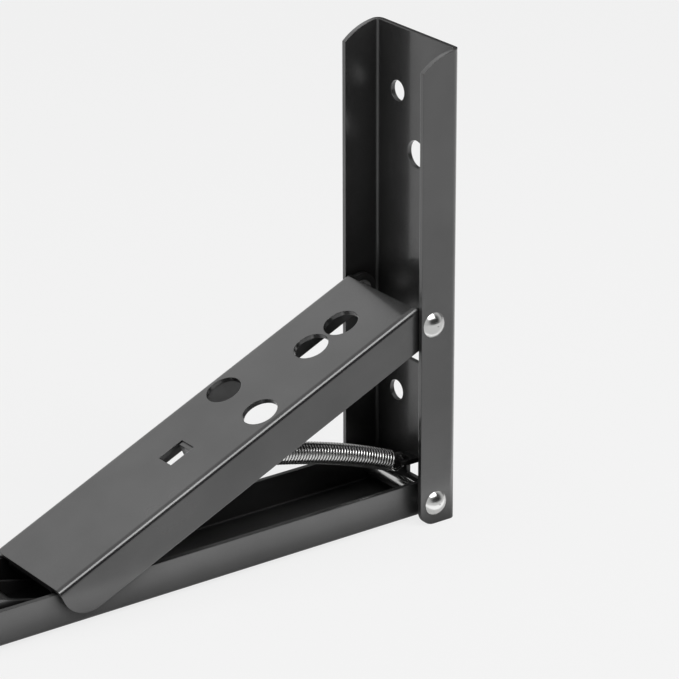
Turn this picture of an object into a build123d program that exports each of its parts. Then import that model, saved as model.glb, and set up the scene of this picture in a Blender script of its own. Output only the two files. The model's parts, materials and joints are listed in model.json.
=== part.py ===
from build123d import *
import os
from math import cos, radians, sin, sqrt

# Folding shelf bracket: a wall plate, a shelf arm and a strut, three folded channels that nest when folded.
# X runs out from the wall, Y across the bracket, Z up with the bracket lying on its shelf face.
# The origin is on the wall face, at mid-width, level with the shelf face of the arm.
# Lengths are in millimetres.

# wall plate
plate_width = 40.0
plate_depth = 13.6
plate_height = 150.0
plate_overhang = 1.3
plate_sheet = 1.5
plate_bend = 2.5
plate_top_radius = 20.0
plate_foot_radius = 5.0

# shelf arm
arm_width = 31.2
arm_height = 11.4
arm_length = 250.0
arm_sheet = 1.5
arm_bend = 2.1
arm_end_radius = 3.0

# strut
strut_width = 35.6
strut_depth = 13.0
strut_sheet = 1.5
strut_bend = 1.9
strut_slope = 24.1
strut_web_start = 2.4
strut_end_radius = 9.0
strut_ear_radius = 5.2

# pivots: distance out from the wall and height above the shelf face
arm_pivot_out = 7.8
arm_pivot_height = 5.4
strut_pivot_out = 9.0
strut_pivot_height = 64.14
strut_pivot_depth = 7.2

# play between pieces
running_play = 0.05
sheet_play = 0.3
seat_play = 0.25

# rivets and pins
rivet_shank = 2.4
rivet_head = 4.0
rivet_head_height = 2.0
flat_head = 3.2
flat_head_height = 0.35
arm_pin_radius = 2.5
arm_pin_head = 4.0
arm_spacer_wall = 1.5

# foot of the strut
foot_sheet = 1.2
foot_width = 24.4
foot_pin_along = 134.6
foot_pin_height = 6.6
foot_pin_radius = 2.0
foot_pin_head = 3.2
foot_pin_head_height = 0.8
foot_plate_length = 22.0

# release catch
catch_sheet = 1.2
catch_width = 16.0
catch_pivot_out = 172.0
catch_pivot_height = 6.4
catch_pin_radius = 2.0
catch_nose_out = 134.0
catch_nose_low = 4.0
catch_nose_high = 5.4
catch_belly = 2.4
catch_top = 10.6
catch_pad_start = 155.0
catch_tail_out = 185.0
bush_radius = 3.6

# springs (turn_lap widens each turn a little, so that a coil is one solid)
spring_radius = 3.5
spring_wire = 1.1
spring_loop = 2.6
spring_bow = 3.0
wall_tab_height = 12.0
wall_tab_width = 6.0
wall_tab_reach = 6.6
wall_tab_hole_out = 5.2
strut_slot_along = 79.6
strut_slot_length = 8.9
strut_slot_width = 6.3
strut_slot_shift = 0.0
strut_tab_length = 5.4
strut_tab_hole_depth = 3.1
hook_hole = 1.6
catch_spring_radius = 2.85
catch_spring_wire = 0.8
catch_spring_leg = 12.0
catch_spring_turns = 7
turn_lap = 1.05
coil_sides = 12
loop_sides = 6

# screw holes
wall_screw_radius = 3.3
wall_screw_shift = -8.6
wall_screw_heights = (31.5, 128.5)
wall_key_radius = 4.3
wall_key_shift = 0.7
wall_key_height = 111.0
wall_window_low = 44.0
wall_window_high = 53.4
wall_window_width = 9.0
wall_window_corner = 1.0
tab_window_low = 5.3
shelf_screw_radius = 2.6
shelf_screw_outs = (38.3, 228.3)
strut_round_radius = 5.5
strut_round_places = ((18.6, 0.0), (30.6, -0.1), (58.0, -9.9), (58.5, 9.6))

slope = radians(strut_slope)
plate_top = plate_height - plate_overhang
strut_top = strut_pivot_depth
strut_inside = strut_pivot_depth - strut_sheet
strut_low = strut_pivot_depth - strut_depth
strut_end = (
    strut_pivot_height + strut_inside * cos(slope) - arm_height - seat_play
) / sin(slope)

# Side planes: local x along the piece, local y towards its web or upwards, thickness across the bracket.
side = Plane((0, 0, 0), x_dir=(1, 0, 0), z_dir=(0, -1, 0))
strut_side = Plane(
    (strut_pivot_out, 0, strut_pivot_height),
    x_dir=(cos(slope), 0, -sin(slope)),
    z_dir=(0, -1, 0),
)


def channel_section(width, depth, sheet, bend):
    """Section of a folded channel, its web's outer face on local y = 0 and its legs towards -y."""
    half = width / 2
    with BuildSketch() as section:
        with BuildLine():
            outside = FilletPolyline(
                (-half, -depth), (-half, 0), (half, 0), (half, -depth), radius=bend
            )
            inside = FilletPolyline(
                (half - sheet, -depth),
                (half - sheet, -sheet),
                (sheet - half, -sheet),
                (sheet - half, -depth),
                radius=bend - sheet,
            )
            Line(outside @ 1, inside @ 0)
            Line(inside @ 1, outside @ 0)
        make_face()
    return section.sketch


def along_y(x, z, y):
    """Plane square to the bracket's width at a point of its side view, facing +Y."""
    return Plane((x, y, z), x_dir=(1, 0, 0), z_dir=(0, 1, 0))


def strut_point(along, depth):
    """Side-view place of a point of the strut: how far along it, and how far towards its web."""
    return (
        strut_pivot_out + along * cos(slope) + depth * sin(slope),
        strut_pivot_height - along * sin(slope) + depth * cos(slope),
    )


# Wall plate: channel open away from the wall, its legs rounded at the top and at the bottom front corner.
with BuildPart() as wall_plate:
    with BuildSketch(Plane((0, 0, -plate_overhang), x_dir=(0, 1, 0), z_dir=(0, 0, 1))):
        add(channel_section(plate_width, plate_depth, plate_sheet, plate_bend))
    extrude(amount=plate_height)
    plate_drop = plate_top_radius - sqrt(plate_top_radius**2 - plate_depth**2)
    with BuildSketch(side):
        with BuildLine():
            plate_crown = RadiusArc(
                (0, plate_top), (plate_depth, plate_top - plate_drop), plate_top_radius
            )
            plate_edge = FilletPolyline(
                plate_crown @ 1,
                (plate_depth, -plate_overhang),
                (0, -plate_overhang),
                radius=plate_foot_radius,
            )
            Line(plate_edge @ 1, plate_crown @ 0)
        make_face()
    extrude(amount=plate_width / 2, both=True, mode=Mode.INTERSECT)
    # screw holes, the big hole and the two windows of the web
    with BuildSketch(Plane.YZ):
        with Locations(*[(wall_screw_shift, height) for height in wall_screw_heights]):
            Circle(wall_screw_radius)
        with Locations((wall_key_shift, wall_key_height)):
            Circle(wall_key_radius)
        with Locations((0, (wall_window_low + wall_window_high) / 2)):
            RectangleRounded(
                wall_window_width, wall_window_high - wall_window_low, wall_window_corner
            )
        with Locations((0, (tab_window_low + wall_tab_height - plate_sheet / 2) / 2)):
            Rectangle(
                wall_tab_width + 2 * sheet_play,
                wall_tab_height - plate_sheet / 2 - tab_window_low,
            )
    extrude(amount=plate_sheet, mode=Mode.SUBTRACT)
    # spring tab lanced out of the lower window
    with BuildSketch(Plane.XY.offset(wall_tab_height - plate_sheet / 2)):
        tab_round_out = plate_sheet + wall_tab_reach - wall_tab_width / 2
        with BuildLine():
            tab_round = RadiusArc(
                (tab_round_out, -wall_tab_width / 2),
                (tab_round_out, wall_tab_width / 2),
                -wall_tab_width / 2,
            )
            Polyline(
                tab_round @ 1,
                (plate_sheet / 2, wall_tab_width / 2),
                (plate_sheet / 2, -wall_tab_width / 2),
                tab_round @ 0,
            )
        make_face()
        with Locations((wall_tab_hole_out, 0)):
            Circle(hook_hole, mode=Mode.SUBTRACT)
    extrude(amount=plate_sheet)
    # rivet holes through both legs
    for pivot_out, pivot_height, pivot_radius in (
        (arm_pivot_out, arm_pivot_height, arm_pin_radius),
        (strut_pivot_out, strut_pivot_height, rivet_shank),
    ):
        with BuildSketch(along_y(pivot_out, pivot_height, 0)):
            Circle(pivot_radius)
        extrude(amount=plate_width, both=True, mode=Mode.SUBTRACT)

# Shelf arm: channel open upwards, its legs round about the pivot at the wall end.
with BuildPart() as arm:
    arm_pivot_edge = arm_height - arm_pivot_height
    with BuildSketch(
        Plane((arm_pivot_out - arm_pivot_edge, 0, 0), x_dir=(0, -1, 0), z_dir=(1, 0, 0))
    ):
        add(channel_section(arm_width, arm_height, arm_sheet, arm_bend))
    extrude(amount=arm_length - arm_pivot_out + arm_pivot_edge)
    with BuildSketch(side):
        with Locations((arm_pivot_out, arm_pivot_height)):
            Circle(arm_pivot_edge)
        with BuildLine():
            FilletPolyline(
                (arm_pivot_out, arm_height),
                (arm_length, arm_height),
                (arm_length, 0),
                (arm_pivot_out, 0),
                radius=arm_end_radius,
            )
            Line((arm_pivot_out, 0), (arm_pivot_out, arm_height))
        make_face()
    extrude(amount=arm_width / 2, both=True, mode=Mode.INTERSECT)
    for pivot_out, pivot_height, pivot_radius in (
        (arm_pivot_out, arm_pivot_height, arm_pin_radius + running_play),
        (catch_pivot_out, catch_pivot_height, catch_pin_radius),
    ):
        with BuildSketch(along_y(pivot_out, pivot_height, 0)):
            Circle(pivot_radius)
        extrude(amount=arm_width, both=True, mode=Mode.SUBTRACT)
    with BuildSketch(Plane.XY):
        with Locations(*[(out, 0) for out in shelf_screw_outs]):
            Circle(shelf_screw_radius)
    extrude(amount=arm_sheet, mode=Mode.SUBTRACT)

# Strut: channel open towards the arm, straddling it, with lightening holes and a lanced spring tab.
with BuildPart() as strut:
    strut_back = strut_pivot_depth
    with BuildSketch(
        Plane(
            strut_side.from_local_coords((-strut_back, strut_top, 0)),
            x_dir=(0, 1, 0),
            z_dir=strut_side.x_dir,
        )
    ):
        add(channel_section(strut_width, strut_depth, strut_sheet, strut_bend))
    extrude(amount=strut_back + strut_end)
    # side view: ears round about the pivot, lower end rounded on its underside
    with BuildSketch(strut_side):
        Circle(strut_ear_radius)
        with BuildLine():
            strut_under = FilletPolyline(
                (0, -strut_ear_radius),
                (strut_back, strut_low),
                (strut_end, strut_low),
                (strut_end, strut_inside),
                radius=strut_end_radius,
            )
            Polyline(
                strut_under @ 1,
                (strut_end, strut_top),
                (strut_web_start, strut_top),
                (0, strut_ear_radius),
                (0, -strut_ear_radius),
            )
        make_face()
    extrude(amount=strut_width / 2, both=True, mode=Mode.INTERSECT)
    # the web starts a little past the pivot, between the two ears
    with BuildSketch(strut_side):
        with BuildLine():
            Polyline(
                (-2 * strut_back, strut_inside - strut_bend),
                (-2 * strut_back, strut_top + strut_sheet),
                (strut_web_start, strut_top + strut_sheet),
                (strut_web_start, strut_inside - strut_bend),
                close=True,
            )
        make_face()
    extrude(amount=strut_width / 2 - strut_sheet, both=True, mode=Mode.SUBTRACT)
    # round holes and the spring slot of the web
    with BuildSketch(
        Plane(
            strut_side.from_local_coords((0, strut_inside, 0)),
            x_dir=strut_side.x_dir,
            z_dir=strut_side.y_dir,
        )
    ):
        with Locations(*[(along, shift) for along, shift in strut_round_places]):
            Circle(strut_round_radius)
        with Locations((strut_slot_along + strut_slot_length / 2, strut_slot_shift)):
            Rectangle(strut_slot_length, strut_slot_width)
    extrude(amount=strut_sheet, mode=Mode.SUBTRACT)
    # spring tab folded down from the upper end of the slot
    with BuildSketch(
        Plane(
            strut_side.from_local_coords((strut_slot_along, 0, 0)),
            x_dir=(0, 1, 0),
            z_dir=strut_side.x_dir,
        )
    ):
        with Locations((strut_slot_shift, strut_top - strut_sheet / 2 - strut_tab_length / 2)):
            Rectangle(strut_slot_width - 2 * seat_play, strut_tab_length + strut_sheet / 2)
        with Locations((0, strut_inside - strut_tab_hole_depth)):
            Circle(hook_hole, mode=Mode.SUBTRACT)
    extrude(amount=strut_sheet)
    with BuildSketch(along_y(strut_pivot_out, strut_pivot_height, 0)):
        Circle(rivet_shank + running_play)
    extrude(amount=strut_width, both=True, mode=Mode.SUBTRACT)

# Foot stirrup: a plate under the strut's lower end with two ears that run in the arm's channel.
foot_pin_depth = (
    foot_pin_height - strut_pivot_height + foot_pin_along * sin(slope)
) / cos(slope)
foot_rim = foot_pin_height - arm_sheet - 2 * running_play
with BuildPart() as strut_foot:
    foot_start = strut_end - foot_plate_length
    with BuildSketch(
        Plane(
            strut_side.from_local_coords((foot_start, strut_inside, 0)),
            x_dir=(0, 1, 0),
            z_dir=strut_side.x_dir,
        )
    ):
        add(
            channel_section(
                foot_width, strut_inside - foot_pin_depth + foot_rim, foot_sheet, 2 * foot_sheet
            )
        )
    extrude(amount=foot_plate_length)
    with BuildSketch(strut_side):
        with Locations((foot_pin_along, foot_pin_depth)):
            Circle(foot_rim)
        with BuildLine():
            Polyline(
                (foot_start, strut_inside),
                (strut_end, strut_inside),
                (strut_end, strut_inside - 2 * foot_sheet),
                (foot_pin_along + foot_rim, foot_pin_depth),
                (foot_pin_along - foot_rim, foot_pin_depth),
                (foot_start, strut_inside - 2 * foot_sheet),
                (foot_start, strut_inside),
            )
        make_face()
    extrude(amount=foot_width / 2, both=True, mode=Mode.INTERSECT)
    with BuildSketch(along_y(*strut_point(foot_pin_along, foot_pin_depth), 0)):
        Circle(foot_pin_radius)
    extrude(amount=foot_width, both=True, mode=Mode.SUBTRACT)


def turned_pin(place, stations):
    """Round pin across the bracket: revolve of (radius, y) stations, from one end face to the other."""
    x, z = place
    with BuildPart() as pin:
        with BuildSketch(Plane((x, 0, z), x_dir=(1, 0, 0), z_dir=(0, 0, 1))):
            with BuildLine():
                Polyline((0, stations[0][1]), *stations, (0, stations[-1][1]), close=True)
            make_face()
        revolve(axis=Axis((x, 0, z), (0, 1, 0)))
    return pin.part


def dome_head(place, radius, height, seat, facing):
    """Domed rivet head: a cap of a sphere standing on a plane across the bracket."""
    x, z = place
    ball = (radius**2 + height**2) / (2 * height)
    with BuildPart() as head:
        with BuildSketch(Plane((x, seat, z), x_dir=(1, 0, 0), z_dir=(0, 0, 1))):
            with BuildLine():
                crown = RadiusArc((0, facing * height), (radius, 0), ball * facing)
                Polyline(crown @ 1, (0, 0), crown @ 0)
            make_face()
        revolve(axis=Axis((x, 0, z), (0, 1, 0)))
    return head.part


def wire_ring(middle, loop, wire):
    """Hook loop of a spring: a faceted wire section carried round an axis across the bracket."""
    with BuildPart() as ring:
        with BuildSketch(Plane(middle, x_dir=(1, 0, 0), z_dir=(0, 0, 1))):
            with Locations((loop, 0)):
                RegularPolygon(wire / 2, loop_sides)
        revolve(axis=Axis(middle, (0, 1, 0)))
    return ring.part


def coil_turn(radius, half, rise):
    """One turn of a close-wound coil: two faceted frustums back to back, widest at mid-turn."""
    with BuildPart() as turn:
        for facing in (-1, 1):
            with BuildSketch(Plane.XY):
                RegularPolygon(radius, coil_sides)
            with BuildSketch(Plane.XY.offset(facing * half)):
                RegularPolygon(radius - rise, coil_sides)
            loft()
    return turn.part


# Foot pin: plain pin through both ears, with a low head at each end.
foot_place = strut_point(foot_pin_along, foot_pin_depth)
foot_half = foot_width / 2
with BuildPart() as foot_pin:
    add(
        turned_pin(
            foot_place,
            (
                (foot_pin_head, -foot_half - foot_pin_head_height),
                (foot_pin_head, -foot_half),
                (foot_pin_radius, -foot_half),
                (foot_pin_radius, foot_half),
                (foot_pin_head, foot_half),
                (foot_pin_head, foot_half + foot_pin_head_height),
            ),
        )
    )

# Arm pivot pin: full-width rivet with a domed head outside each leg of the wall plate.
arm_place = (arm_pivot_out, arm_pivot_height)
plate_half = plate_width / 2
with BuildPart() as arm_pivot_pin:
    add(
        turned_pin(
            arm_place, ((arm_pin_radius, -plate_half), (arm_pin_radius, plate_half))
        )
    )
    for facing in (-1, 1):
        add(dome_head(arm_place, arm_pin_head, rivet_head_height, facing * plate_half, facing))

# Arm spacers: tubes on the pivot pin that keep the arm midway between the legs.
arm_spacers = {}
for spot, facing in (("near", 1), ("far", -1)):
    spacer_in = arm_width / 2 + running_play
    spacer_out = plate_half - plate_sheet - running_play
    with BuildPart() as arm_spacer:
        with BuildSketch(along_y(*arm_place, facing * (spacer_in + spacer_out) / 2)):
            Circle(arm_pin_radius + arm_spacer_wall)
            Circle(arm_pin_radius + running_play, mode=Mode.SUBTRACT)
        extrude(amount=(spacer_out - spacer_in) / 2, both=True)
    arm_spacers["arm_spacer_" + spot] = arm_spacer

# Strut rivets: one short rivet a side, domed outside and flat inside, so that the folded arm passes between.
strut_place = (strut_pivot_out, strut_pivot_height)
strut_rivets = {}
for spot, facing in (("near", 1), ("far", -1)):
    inner_face = strut_width / 2 - strut_sheet - running_play
    with BuildPart() as strut_rivet:
        add(
            turned_pin(
                strut_place,
                (
                    (flat_head, facing * (inner_face - flat_head_height)),
                    (flat_head, facing * inner_face),
                    (rivet_shank, facing * inner_face),
                    (rivet_shank, facing * plate_half),
                ),
            )
        )
        add(dome_head(strut_place, rivet_head, rivet_head_height, facing * plate_half, facing))
    strut_rivets["strut_rivet_" + spot] = strut_rivet

# Release catch: folded lever in the arm's channel; its nose stands behind the foot pin.
with BuildPart() as release_catch:
    with BuildSketch(Plane((catch_nose_out, 0, catch_top), x_dir=(0, 1, 0), z_dir=(1, 0, 0))):
        add(
            channel_section(
                catch_width, catch_top - catch_belly, catch_sheet, 2 * catch_sheet
            )
        )
    extrude(amount=catch_tail_out - catch_nose_out)
    with BuildSketch(side):
        with BuildLine():
            Polyline(
                (catch_nose_out, catch_nose_low),
                (catch_nose_out, catch_nose_high),
                (catch_pad_start, catch_top),
                (catch_tail_out, catch_top),
                (catch_tail_out, catch_pivot_height),
                (catch_pivot_out + bush_radius, catch_belly),
                (catch_pivot_out - bush_radius, catch_belly),
                (catch_nose_out, catch_nose_low),
            )
        make_face()
    extrude(amount=catch_width / 2, both=True, mode=Mode.INTERSECT)
    with BuildSketch(along_y(catch_pivot_out, catch_pivot_height, 0)):
        Circle(catch_pin_radius + running_play)
    extrude(amount=catch_width, both=True, mode=Mode.SUBTRACT)

# Catch pivot pin: flat-headed pin through the arm's legs, its heads low enough to pass inside the strut.
catch_place = (catch_pivot_out, catch_pivot_height)
arm_half = arm_width / 2
with BuildPart() as catch_pivot_pin:
    add(
        turned_pin(
            catch_place,
            (
                (flat_head, -arm_half - flat_head_height),
                (flat_head, -arm_half),
                (catch_pin_radius, -arm_half),
                (catch_pin_radius, arm_half),
                (flat_head, arm_half),
                (flat_head, arm_half + flat_head_height),
            ),
        )
    )

# Catch bushes: tubes that hold the catch midway between the arm's legs.
catch_bushes = {}
for spot, facing in (("near", 1), ("far", -1)):
    bush_in = catch_width / 2 + running_play
    bush_out = arm_half - arm_sheet - running_play
    with BuildPart() as catch_bush:
        with BuildSketch(along_y(*catch_place, facing * (bush_in + bush_out) / 2)):
            Circle(bush_radius)
            Circle(catch_pin_radius + running_play, mode=Mode.SUBTRACT)
        extrude(amount=(bush_out - bush_in) / 2, both=True)
    catch_bushes["catch_bush_" + spot] = catch_bush

# Catch spring: short torsion spring on the pivot pin, one leg under the catch's pad, one on the arm's web.
with BuildPart() as catch_spring:
    coil_half = catch_spring_turns * catch_spring_wire / 2
    coil_mean = catch_spring_radius - catch_spring_wire / 2
    catch_turn = coil_turn(
        catch_spring_radius, catch_spring_wire / 2 * turn_lap, catch_spring_wire / 2
    )
    with Locations(
        *[
            along_y(*catch_place, (turn + 0.5) * catch_spring_wire - coil_half)
            for turn in range(catch_spring_turns)
        ]
    ):
        add(catch_turn)
    with BuildSketch(along_y(*catch_place, 0)):
        Circle(catch_spring_radius - catch_spring_wire)
    extrude(amount=2 * coil_half, both=True, mode=Mode.SUBTRACT)
    leg_y = coil_half - catch_spring_wire / 2
    pad_side = catch_top - catch_sheet - catch_spring_wire / 2 - running_play
    web_side = arm_sheet + catch_spring_wire / 2 + running_play
    for leg_shift, leg_start, leg_end in (
        (leg_y, catch_pivot_height + coil_mean, pad_side),
        (-leg_y, catch_pivot_height - coil_mean, web_side),
    ):
        leg_path = Edge.make_line(
            (catch_pivot_out, leg_shift, leg_start),
            (catch_pivot_out - catch_spring_leg, leg_shift, leg_end),
        )
        with BuildSketch(Plane(origin=leg_path @ 0, z_dir=leg_path % 0)):
            Circle(catch_spring_wire / 2)
        sweep(path=leg_path)

# Tension spring: close-wound coil on a bowed line from the wall tab to the strut tab, and its wall loop.
wall_loop = Vector(wall_tab_hole_out + spring_loop, 0, wall_tab_height)
strut_loop_x, strut_loop_z = strut_point(
    strut_slot_along + strut_sheet / 2, strut_inside - strut_tab_hole_depth - spring_loop
)
strut_loop = Vector(strut_loop_x, 0, strut_loop_z)
spring_chord = strut_loop - wall_loop
spring_rise = Vector(-spring_chord.Z, 0, spring_chord.X).normalized() * spring_bow
spring_middle = (wall_loop + strut_loop) / 2 + spring_rise
spring_line = Edge.make_three_point_arc(wall_loop, spring_middle, strut_loop)
coil_start = spring_loop + spring_wire / 2
coil_length = spring_line.length - 2 * coil_start - running_play
coil_turns = int(coil_length / spring_wire)
coil_pitch = coil_length / coil_turns
lapped_turn = coil_turn(spring_radius, coil_pitch / 2 * turn_lap, spring_wire / 2)
last_turn = coil_turn(spring_radius, coil_pitch / 2, spring_wire / 2)
with BuildPart() as tension_spring:
    for turn in range(coil_turns):
        turn_middle = coil_start + (turn + 0.5) * coil_pitch
        turn_origin = spring_line.position_at(turn_middle, position_mode=PositionMode.LENGTH)
        turn_axis = spring_line.tangent_at(turn_middle, position_mode=PositionMode.LENGTH)
        with Locations(Plane(origin=turn_origin, x_dir=(0, 1, 0), z_dir=turn_axis)):
            add(last_turn if turn == coil_turns - 1 else lapped_turn)
    add(wire_ring(wall_loop, spring_loop, spring_wire))

# Spring hook: the loop at the strut's end of the spring, which moves away as the coil stretches.
with BuildPart() as spring_hook:
    add(wire_ring(strut_loop, spring_loop, spring_wire))

# Labels and files, one for each sub-part.
pieces = {
    "wall_plate": wall_plate,
    "arm": arm,
    "strut": strut,
    "strut_foot": strut_foot,
    "foot_pin": foot_pin,
    "arm_pivot_pin": arm_pivot_pin,
    **arm_spacers,
    **strut_rivets,
    "release_catch": release_catch,
    "catch_pivot_pin": catch_pivot_pin,
    **catch_bushes,
    "catch_spring": catch_spring,
    "tension_spring": tension_spring,
    "spring_hook": spring_hook,
}
os.makedirs("parts", exist_ok=True)
for piece_name, piece in pieces.items():
    piece.part.label = piece_name
    export_step(piece.part, "parts/" + piece_name + ".step")
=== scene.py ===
"""Folding shelf bracket of powder-coated sheet steel, with plated rivets and a bright drawn-wire spring."""

import json
import math

import bpy
import numpy as np
from mathutils import Matrix, Vector


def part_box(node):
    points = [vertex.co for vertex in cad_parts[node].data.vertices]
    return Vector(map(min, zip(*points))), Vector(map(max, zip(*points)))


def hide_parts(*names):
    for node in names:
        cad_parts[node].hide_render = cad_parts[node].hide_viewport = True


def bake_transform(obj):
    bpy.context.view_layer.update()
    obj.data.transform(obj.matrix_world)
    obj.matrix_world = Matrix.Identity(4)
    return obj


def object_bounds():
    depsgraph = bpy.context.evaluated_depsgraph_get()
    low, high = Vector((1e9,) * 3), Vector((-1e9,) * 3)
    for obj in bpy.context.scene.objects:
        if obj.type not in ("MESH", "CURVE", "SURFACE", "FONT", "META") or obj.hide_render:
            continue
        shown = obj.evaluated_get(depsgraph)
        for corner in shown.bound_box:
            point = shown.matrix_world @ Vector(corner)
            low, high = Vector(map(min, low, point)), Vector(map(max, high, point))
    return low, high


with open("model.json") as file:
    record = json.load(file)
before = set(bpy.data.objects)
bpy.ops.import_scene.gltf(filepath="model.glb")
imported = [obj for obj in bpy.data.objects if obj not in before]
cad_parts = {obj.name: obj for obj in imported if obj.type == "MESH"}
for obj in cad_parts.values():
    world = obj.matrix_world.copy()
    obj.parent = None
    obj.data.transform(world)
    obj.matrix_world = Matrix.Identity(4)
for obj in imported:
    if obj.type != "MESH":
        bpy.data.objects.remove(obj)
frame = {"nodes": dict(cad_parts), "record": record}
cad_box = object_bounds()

MM = 0.001
nodes = frame["nodes"]
CORNER_REACH = 22 * MM  # how far the walls of a channel shade its inside
FLAT_BEND = 0.35 * MM  # softened edge of the coated sheet
WORN_BEND = 0.12 * MM  # softened edge of the plated pieces


# materials


def linear(hex_colour):
    """sRGB hex to linear RGBA."""
    channels = [int(hex_colour[i : i + 2], 16) / 255 for i in (1, 3, 5)]
    return [c / 12.92 if c <= 0.04045 else ((c + 0.055) / 1.055) ** 2.4 for c in channels] + [1.0]


def material(name):
    """An empty node material: (material, its node tree, its output node)."""
    made = bpy.data.materials.new(name)
    made.use_nodes = True
    made.node_tree.nodes.clear()
    return made, made.node_tree, made.node_tree.nodes.new("ShaderNodeOutputMaterial")


def node(tree, kind, settings=None, **links):
    """Adds a node. settings are its properties; each link is an input: a value, or (node, output)."""
    made = tree.nodes.new(kind)
    for key, value in (settings or {}).items():
        setattr(made, key, value)
    for key, value in links.items():
        number = key[0] == "i" and key[1:].isdigit()
        socket = made.inputs[int(key[1:]) if number else key.replace("_", " ")]
        if isinstance(value, tuple) and isinstance(value[0], bpy.types.Node):
            tree.links.new(value[0].outputs[value[1]], socket)
        else:
            socket.default_value = value
    return made


def powder_coat(name, colour, edge_colour):
    """Polyester powder coat on folded steel: satin base under a clearer skin, with orange peel and thin edges, and
    painted shade in the inside corners of its channels.
    """
    made, tree, output = material(name)
    place = node(tree, "ShaderNodeTexCoord")
    # orange peel: waves about 0.6 mm across
    peel = node(tree, "ShaderNodeTexNoise", Vector=(place, "Object"), Scale=1600.0, Detail=2.0, Roughness=0.5)
    # slow change of gloss and shade over some 30 mm, as on any baked coat
    drift = node(tree, "ShaderNodeTexNoise", Vector=(place, "Object"), Scale=33.0, Detail=3.0, Roughness=0.6)
    gloss = node(tree, "ShaderNodeMapRange", Value=(drift, "Fac"), To_Min=0.22, To_Max=0.3)
    tint = node(
        tree,
        "ShaderNodeMix",
        {"data_type": "RGBA"},
        i0=(drift, "Fac"),
        i6=linear(colour),
        i7=linear(edge_colour),
    )
    # painted shade: inside corners of a folded channel get a near-black colour and less coat and sheen, standing in
    # for the shade that falls there
    open_air = node(tree, "ShaderNodeAmbientOcclusion", {"samples": 8}, Distance=CORNER_REACH)
    painted_corner_shade = node(
        tree, "ShaderNodeMapRange", Value=(open_air, "AO"), From_Min=0.35, From_Max=0.85, To_Min=0.4, To_Max=1.0
    )
    tint = node(
        tree,
        "ShaderNodeMix",
        {"data_type": "RGBA"},
        i0=(painted_corner_shade, "Result"),
        i6=linear("#060606"),
        i7=(tint, 2),
    )
    # the same corners blur what they mirror, both in the base and in the skin
    dull = node(
        tree,
        "ShaderNodeMapRange",
        Value=(open_air, "AO"),
        From_Min=0.6,
        From_Max=0.95,
        To_Min=0.5,
        To_Max=(gloss, "Result"),
    )
    haze = node(
        tree, "ShaderNodeMapRange", Value=(open_air, "AO"), From_Min=0.6, From_Max=0.95, To_Min=0.45, To_Max=0.08
    )
    bevel = node(tree, "ShaderNodeBevel", {"samples": 6}, Radius=FLAT_BEND)
    bump = node(
        tree, "ShaderNodeBump", Strength=0.12, Distance=0.02 * MM, Height=(peel, "Fac"), Normal=(bevel, "Normal")
    )
    level = node(
        tree, "ShaderNodeMapRange", Value=(drift, "Fac"), From_Min=0.3, From_Max=0.7, To_Min=0.36, To_Max=0.58
    )
    # painted shade: the sheen and the clear skin are weakened in the same shaded corners
    shine = node(tree, "ShaderNodeMath", {"operation": "MULTIPLY"}, i0=(painted_corner_shade, "Result"), i1=(level, "Result"))
    coat = node(
        tree,
        "ShaderNodeBsdfPrincipled",
        Base_Color=(tint, 2),
        Roughness=(dull, "Result"),
        Normal=(bump, "Normal"),
        Specular_IOR_Level=(shine, "Value"),
        Coat_Weight=(painted_corner_shade, "Result"),
        Coat_Roughness=(haze, "Result"),
        Coat_Normal=(bevel, "Normal"),
    )
    tree.links.new(coat.outputs[0], output.inputs[0])
    return made


def plated_metal(name, colour, rough, scale, groove):
    """Nickel-plated steel: bright, with faint turning marks, and painted shade in seams narrower than the groove
    width.
    """
    made, tree, output = material(name)
    place = node(tree, "ShaderNodeTexCoord")
    marks = node(tree, "ShaderNodeTexNoise", Vector=(place, "Object"), Scale=scale, Detail=3.0, Roughness=0.6)
    gloss = node(tree, "ShaderNodeMapRange", Value=(marks, "Fac"), To_Min=rough * 0.8, To_Max=rough * 1.3)
    # painted shade: seams and the grooves between turns get a near-black colour, standing in for the shade that falls
    # in them
    open_air = node(tree, "ShaderNodeAmbientOcclusion", {"samples": 8}, Distance=groove * MM)
    clear = node(tree, "ShaderNodeMapRange", Value=(open_air, "AO"), From_Min=0.45, From_Max=0.85)
    tint = node(
        tree,
        "ShaderNodeMix",
        {"data_type": "RGBA"},
        i0=(clear, "Result"),
        i6=linear("#1a1a1a"),
        i7=linear(colour),
    )
    bevel = node(tree, "ShaderNodeBevel", {"samples": 6}, Radius=WORN_BEND)
    bump = node(
        tree, "ShaderNodeBump", Strength=0.05, Distance=0.01 * MM, Height=(marks, "Fac"), Normal=(bevel, "Normal")
    )
    metal = node(
        tree,
        "ShaderNodeBsdfPrincipled",
        Base_Color=(tint, 2),
        Roughness=(gloss, "Result"),
        Normal=(bump, "Normal"),
        Metallic=1.0,
    )
    tree.links.new(metal.outputs[0], output.inputs[0])
    return made


# black sheet: even dark grey faces that mirror a pale room softly, a thin bright line along each bend
coat_black = powder_coat("satin_black_powder_coat", "#171717", "#1d1d1d")
# rivets and pins: pale domes with a small highlight; turning marks about 1.1 mm apart
nickel = plated_metal("nickel_plated_rivet_steel", "#bebebd", 0.2, 900.0, 0.4)
# springs: bright turns with painted shade in the grooves between them; drawing marks about 0.4 mm apart
wire_steel = plated_metal("nickel_plated_spring_wire", "#c8c8c7", 0.22, 2500.0, 1.1)

finishes = {"powder_coat": coat_black, "plated_steel": nickel, "spring_steel": wire_steel}
for part in frame["record"]["subparts"]:
    slots = nodes[part["node"]].data.materials
    slots.clear()
    slots.append(finishes[part["material_slot"]])


# springs: both are wires, so each is a tube carried along its own line

WIRE_SIDES = 10


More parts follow.
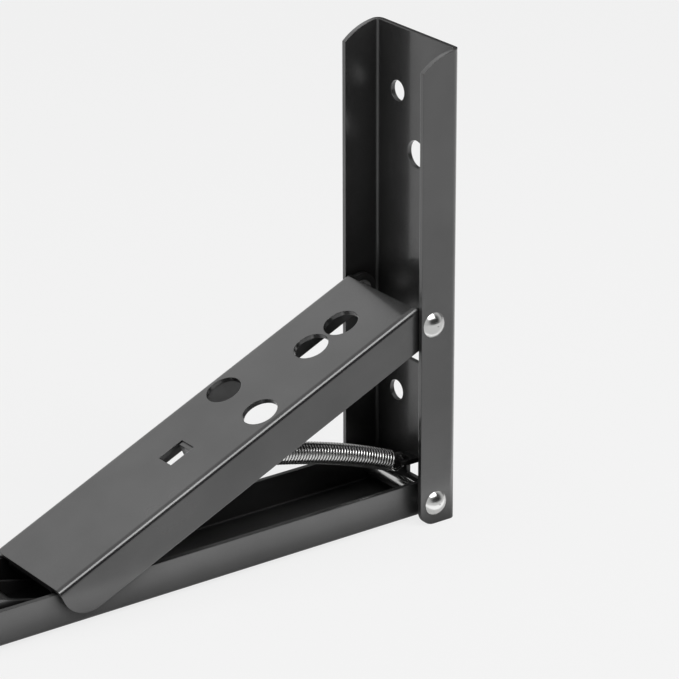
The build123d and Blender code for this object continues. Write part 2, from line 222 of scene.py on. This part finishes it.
def tube(name, line, radius, finish):
    """A round wire: circle of that radius, in two directions square to the line, carried along the line's points.

    The line's frame is turned from point to point by the least rotation, so the wire doesn't twist.
    """
    line = np.asarray(line, float)
    along = np.gradient(line, axis=0)
    along /= np.linalg.norm(along, axis=1)[:, None]
    across = np.cross(along[0], (0.31, 0.52, 0.79))
    sides = [across / np.linalg.norm(across)]
    for direction in along[1:]:
        carried = sides[-1] - direction * (sides[-1] @ direction)
        sides.append(carried / np.linalg.norm(carried))
    sides = np.array(sides)
    other = np.cross(along, sides)
    turn = np.linspace(0, 2 * np.pi, WIRE_SIDES, endpoint=False)
    rings = (
        line[:, None]
        + radius * np.cos(turn)[None, :, None] * sides[:, None]
        + radius * np.sin(turn)[None, :, None] * other[:, None]
    )
    count = len(line)
    points = np.vstack([rings.reshape(-1, 3), line[:1], line[-1:]])
    here = (np.arange(count - 1)[:, None] * WIRE_SIDES + np.arange(WIRE_SIDES)[None]).ravel()
    next_side = (
        np.arange(count - 1)[:, None] * WIRE_SIDES + (np.arange(WIRE_SIDES)[None] + 1) % WIRE_SIDES
    ).ravel()
    quads = np.stack([here, next_side, next_side + WIRE_SIDES, here + WIRE_SIDES], 1)
    ring = np.arange(WIRE_SIDES)
    after = (ring + 1) % WIRE_SIDES
    first = np.stack([after, ring, np.full(WIRE_SIDES, len(points) - 2)], 1)
    base = (count - 1) * WIRE_SIDES
    last = np.stack([base + ring, base + after, np.full(WIRE_SIDES, len(points) - 1)], 1)
    mesh = bpy.data.meshes.new(name)
    mesh.from_pydata(points.tolist(), [], quads.tolist() + first.tolist() + last.tolist())
    mesh.polygons.foreach_set("use_smooth", np.ones(len(mesh.polygons), bool))
    mesh.materials.append(finish)
    made = bpy.data.objects.new(name, mesh)
    bpy.context.scene.collection.objects.link(made)
    return made


def hermite(start, start_pull, end, end_pull, count):
    """Cubic between two points that leaves and arrives along two given pulls."""
    t = np.linspace(0, 1, count)[1:-1, None]
    return (
        (2 * t**3 - 3 * t**2 + 1) * start
        + (t**3 - 2 * t**2 + t) * start_pull
        + (3 * t**2 - 2 * t**3) * end
        + (t**3 - t**2) * end_pull
    )


# tension spring, in millimetres: its two loop centres, bow, coil and wire are those of the solid it stands for
wall_loop = np.array([7.8, 0.0, 12.0])
hook_low, hook_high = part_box("spring_hook")
strut_loop = np.array((hook_low + hook_high) / 2) / MM
LOOP, WIRE, COIL, BOW = 2.6, 1.1, 2.95, 3.0
TURN_POINTS, LOOP_POINTS, JOIN_POINTS = 22, 40, 12
LOOP_FROM, LOOP_TO = 62, 350  # degrees round the loop
COIL_PULL = 3.0  # how firmly the wire leaves the coil sideways
LOOP_REACH = LOOP + WIRE / 2
ACROSS = np.array([0.0, 1.0, 0.0])

chord = strut_loop - wall_loop
chord_length = np.linalg.norm(chord)
chord_way = chord / chord_length
rise_way = np.array([-chord_way[2], 0.0, chord_way[0]])
bow_radius = (chord_length**2 / 4 + BOW**2) / (2 * BOW)
bow_centre = (wall_loop + strut_loop) / 2 + rise_way * (BOW - bow_radius)
half_turn = math.asin(chord_length / 2 / bow_radius)


def on_bow(distance):
    """Point, tangent and outward normal of the bowed centre line, at a distance along it from the wall loop."""
    angle = np.asarray(distance) / bow_radius - half_turn
    outward = np.cos(angle)[..., None] * rise_way + np.sin(angle)[..., None] * chord_way
    tangent = np.cos(angle)[..., None] * chord_way - np.sin(angle)[..., None] * rise_way
    return bow_centre + bow_radius * outward, tangent, outward


bow_length = 2 * half_turn * bow_radius
coil_from, coil_to = LOOP_REACH + WIRE / 2, bow_length - LOOP_REACH - WIRE / 2
turns = round((coil_to - coil_from) / WIRE)
phase = np.linspace(0, turns, turns * TURN_POINTS + 1)
centre, tangent, outward = on_bow(coil_from + phase / turns * (coil_to - coil_from))
coil = (
    centre
    + COIL * np.cos(2 * np.pi * phase)[:, None] * outward
    + COIL * np.sin(2 * np.pi * phase)[:, None] * ACROSS
)


def end_loop(middle, inward, outward, coil_end, coil_pull):
    """Hook at one end: from the coil's last point over to a circle about the loop's middle, once round it."""
    angle = np.radians(np.linspace(LOOP_FROM, LOOP_TO, LOOP_POINTS))
    circle = middle + LOOP * (np.cos(angle)[:, None] * inward + np.sin(angle)[:, None] * outward)
    arrive = LOOP * (-math.sin(angle[0]) * inward + math.cos(angle[0]) * outward)
    return np.vstack([hermite(coil_end, coil_pull, circle[0], arrive, JOIN_POINTS), circle])


wall_hook = end_loop(wall_loop, tangent[0], outward[0], coil[0], -COIL_PULL * ACROSS)
strut_hook = end_loop(strut_loop, -tangent[-1], outward[-1], coil[-1], COIL_PULL * ACROSS)
spring_line = np.vstack([wall_hook[::-1], coil, strut_hook])
spring_wire = tube("tension_spring_wire", spring_line * MM, WIRE / 2 * MM, wire_steel)
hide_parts("tension_spring", "spring_hook")
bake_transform(spring_wire)

# catch spring, in millimetres: a short torsion coil about the catch's pivot, one leg up to the pad and one down
pivot = np.array([172.0, 0.0, 6.4])
CATCH_COIL, CATCH_WIRE, CATCH_TURNS, CATCH_WIDTH, CATCH_LEG = 2.45, 0.8, 5.5, 4.8, 12.0
CATCH_POINTS, LEG_POINTS = 160, 8
PAD_LEG_RISE, WEB_LEG_DROP = 0.1, 2.0
UPWARD, OUT = np.array([0.0, 0.0, 1.0]), np.array([1.0, 0.0, 0.0])
phase = np.linspace(0, CATCH_TURNS, CATCH_POINTS)
shift = (0.5 - phase / CATCH_TURNS) * CATCH_WIDTH
catch_coil = (
    pivot
    + CATCH_COIL * np.cos(2 * np.pi * phase)[:, None] * UPWARD
    + CATCH_COIL * np.sin(2 * np.pi * phase)[:, None] * OUT
    + shift[:, None] * ACROSS
)
pad_way = -CATCH_LEG * OUT + PAD_LEG_RISE * UPWARD
web_way = -CATCH_LEG * OUT - WEB_LEG_DROP * UPWARD
pad_leg = catch_coil[0] + np.linspace(1, 0, LEG_POINTS)[:-1, None] * pad_way
web_leg = catch_coil[-1] + np.linspace(0, 1, LEG_POINTS)[1:, None] * web_way
catch_wire = tube(
    "catch_spring_wire", np.vstack([pad_leg, catch_coil, web_leg]) * MM, CATCH_WIRE / 2 * MM, wire_steel
)
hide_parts("catch_spring")
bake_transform(catch_wire)


# stage


def flat_piece(name, corners):
    """One four-cornered face."""
    mesh = bpy.data.meshes.new(name)
    mesh.from_pydata(corners, [], [(0, 1, 2, 3)])
    made = bpy.data.objects.new(name, mesh)
    bpy.context.scene.collection.objects.link(made)
    return made


FLOOR_REACH = 4
floor_level = cad_box[0].z
floor_sides = [(-1, -1), (1, -1), (1, 1), (-1, 1)]
floor = flat_piece("floor", [(x * FLOOR_REACH, y * FLOOR_REACH, floor_level) for x, y in floor_sides])
# white paper: level with the backdrop to the camera, half as bright in what the bracket mirrors, with a soft shadow
paper, tree, output = material("white_studio_paper")
path = node(tree, "ShaderNodeLightPath")
seen = node(
    tree, "ShaderNodeMath", {"operation": "MAXIMUM"}, i0=(path, "Is Camera Ray"), i1=(path, "Is Transmission Ray")
)
shine = node(tree, "ShaderNodeMath", {"operation": "MULTIPLY"}, i0=(path, "Is Glossy Ray"), i1=0.5)
seen = node(tree, "ShaderNodeMath", {"operation": "MAXIMUM"}, i0=(seen, 0), i1=(shine, 0))
share = node(tree, "ShaderNodeMath", {"operation": "MULTIPLY"}, i0=(seen, 0), i1=0.9)
matt = node(tree, "ShaderNodeBsdfDiffuse", Color=linear("#e6e6e6"))
glow = node(tree, "ShaderNodeEmission", Color=linear("#f2f2f2"), Strength=1.0)
mixed = node(tree, "ShaderNodeMixShader", Fac=(share, 0), i1=(matt, 0), i2=(glow, 0))
tree.links.new(mixed.outputs[0], output.inputs[0])
floor.data.materials.append(paper)

world = bpy.data.worlds.new("studio")
bpy.context.scene.world = world
world.use_nodes = True
tree = world.node_tree
tree.nodes.clear()
path = node(tree, "ShaderNodeLightPath")
room = node(tree, "ShaderNodeBackground", Color=linear("#ffffff"), Strength=0.25)
backdrop = node(tree, "ShaderNodeBackground", Color=linear("#f0f0f0"), Strength=1.0)
FRONT_FLAG = (-0.2, 0.88, 0.43)
WALL_FLAG = (-0.85, -0.5, 0.17)
# black flag in front of the bracket: the bends and rivets show it as a dark line beside their highlight
way = node(tree, "ShaderNodeTexCoord")
toward = node(tree, "ShaderNodeVectorMath", {"operation": "DOT_PRODUCT"}, i0=(way, "Generated"), i1=FRONT_FLAG)
front = node(
    tree, "ShaderNodeMapRange", Value=(toward, "Value"), From_Min=0.62, From_Max=0.9, To_Min=0.92, To_Max=0.02
)
# second flag beyond the wall: sheet edges and bends seen at a low angle show it as a dark outline
beyond = node(tree, "ShaderNodeVectorMath", {"operation": "DOT_PRODUCT"}, i0=(way, "Generated"), i1=WALL_FLAG)
outline = node(
    tree, "ShaderNodeMapRange", Value=(beyond, "Value"), From_Min=0.7, From_Max=0.9, To_Min=1.0, To_Max=0.1
)
both = node(tree, "ShaderNodeMath", {"operation": "MULTIPLY"}, i0=(front, "Result"), i1=(outline, "Result"))
flagged = node(tree, "ShaderNodeBackground", Color=linear("#f0f0f0"), Strength=(both, "Value"))
mixed = node(tree, "ShaderNodeMixShader", Fac=(path, "Is Glossy Ray"), i1=(room, 0), i2=(flagged, 0))
seen = node(
    tree, "ShaderNodeMath", {"operation": "MAXIMUM"}, i0=(path, "Is Camera Ray"), i1=(path, "Is Transmission Ray")
)
mixed = node(tree, "ShaderNodeMixShader", Fac=(seen, 0), i1=(mixed, 0), i2=(backdrop, 0))
output = tree.nodes.new("ShaderNodeOutputWorld")
tree.links.new(mixed.outputs[0], output.inputs[0])


def lamp(name, place, aim, width, height, power, mirrored=True):
    """Soft box of that width and height facing a point, unseen by the camera; one that isn't mirrored only lights."""
    light = bpy.data.lights.new(name, "AREA")
    light.shape, light.size, light.size_y, light.energy = "RECTANGLE", width, height, power
    made = bpy.data.objects.new(name, light)
    made.location = place
    made.rotation_mode = "QUATERNION"
    made.rotation_quaternion = (Vector(aim) - Vector(place)).to_track_quat("-Z", "Y")
    made.visible_glossy, made.visible_camera = mirrored, False
    bpy.context.scene.collection.objects.link(made)


middle = (0.09, 0, 0.05)
lamp("overhead_box", (0.1, -0.2, 1.4), middle, 1.0, 0.8, 6.0, mirrored=False)
lamp("back_box", (0.0, -1.15, 1.05), middle, 1.6, 0.6, 0.7)
lamp("bend_box", (0.1, 0.85, 1.25), middle, 1.2, 0.7, 15.0)
lamp("front_box", (-0.9, 1.25, 0.75), middle, 1.1, 1.0, 16.0, mirrored=False)
lamp("outer_box", (1.6, 0.1, 0.5), middle, 0.8, 0.8, 2.0, mirrored=False)
# low card beside the arm, which brightens the upper half of the arm's side
lamp("low_card", (0.1, 0.032, floor_level + 0.5 * MM), (0.1, 0.024, 0.5), 0.6, 0.013, 0.02)


# camera

camera = bpy.data.objects.new("camera", bpy.data.cameras.new("camera"))
bpy.context.scene.collection.objects.link(camera)
yaw, pitch, roll = 2.514, 0.388, -0.003
back = Vector((math.sin(yaw) * math.cos(pitch), -math.cos(yaw) * math.cos(pitch), math.sin(pitch)))
right = Vector((math.cos(yaw), math.sin(yaw), 0))
up = back.cross(right)
turned = Matrix((right, up, back)).transposed() @ Matrix.Rotation(roll, 3, "Z")
camera.rotation_mode = "QUATERNION"
camera.rotation_quaternion = turned.to_quaternion()
camera.location = (0.6105, 0.8010, 0.4623)
FOCAL_PIXELS, PHOTO_PIXELS, SENSOR = 3564, 679, 36
camera.data.lens = FOCAL_PIXELS / PHOTO_PIXELS * SENSOR
camera.data.sensor_width = SENSOR
camera.data.clip_start = 0.01
bpy.context.scene.camera = camera

bpy.context.scene.view_settings.view_transform = "Standard"
